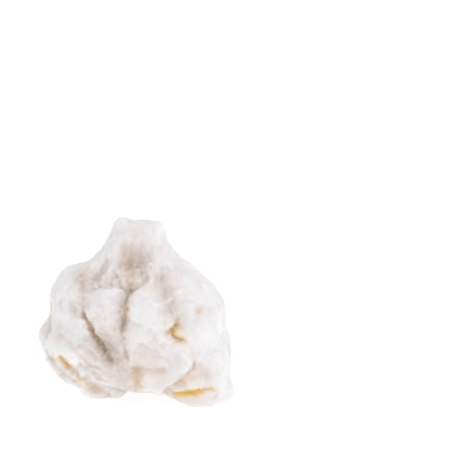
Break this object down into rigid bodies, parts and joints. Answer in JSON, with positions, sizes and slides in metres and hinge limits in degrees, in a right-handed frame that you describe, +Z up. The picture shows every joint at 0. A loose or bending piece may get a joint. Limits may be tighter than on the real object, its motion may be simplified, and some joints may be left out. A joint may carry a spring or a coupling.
{
  "type": "cotton candy",
  "caption": "Loose tuft of white spun sugar floss, torn from a bigger cloud: soft puffs parted by creases, a thick neck on top and matted feet.",
  "frame": {"origin": "middle of the tuft's footprint box, on the surface it stands on", "axes": "+Z up; the creased front faces -Y; +X to the right as the front is looked at, which is the longest way across; Y is the shortest"},
  "size_m": [0.086, 0.063, 0.0835],
  "materials": {
    "floss": "soft fibrous spun sugar, no gloss"
  },
  "bodies": {
    "root": {"tuft": "floss"}
  },
  "joints": []
}
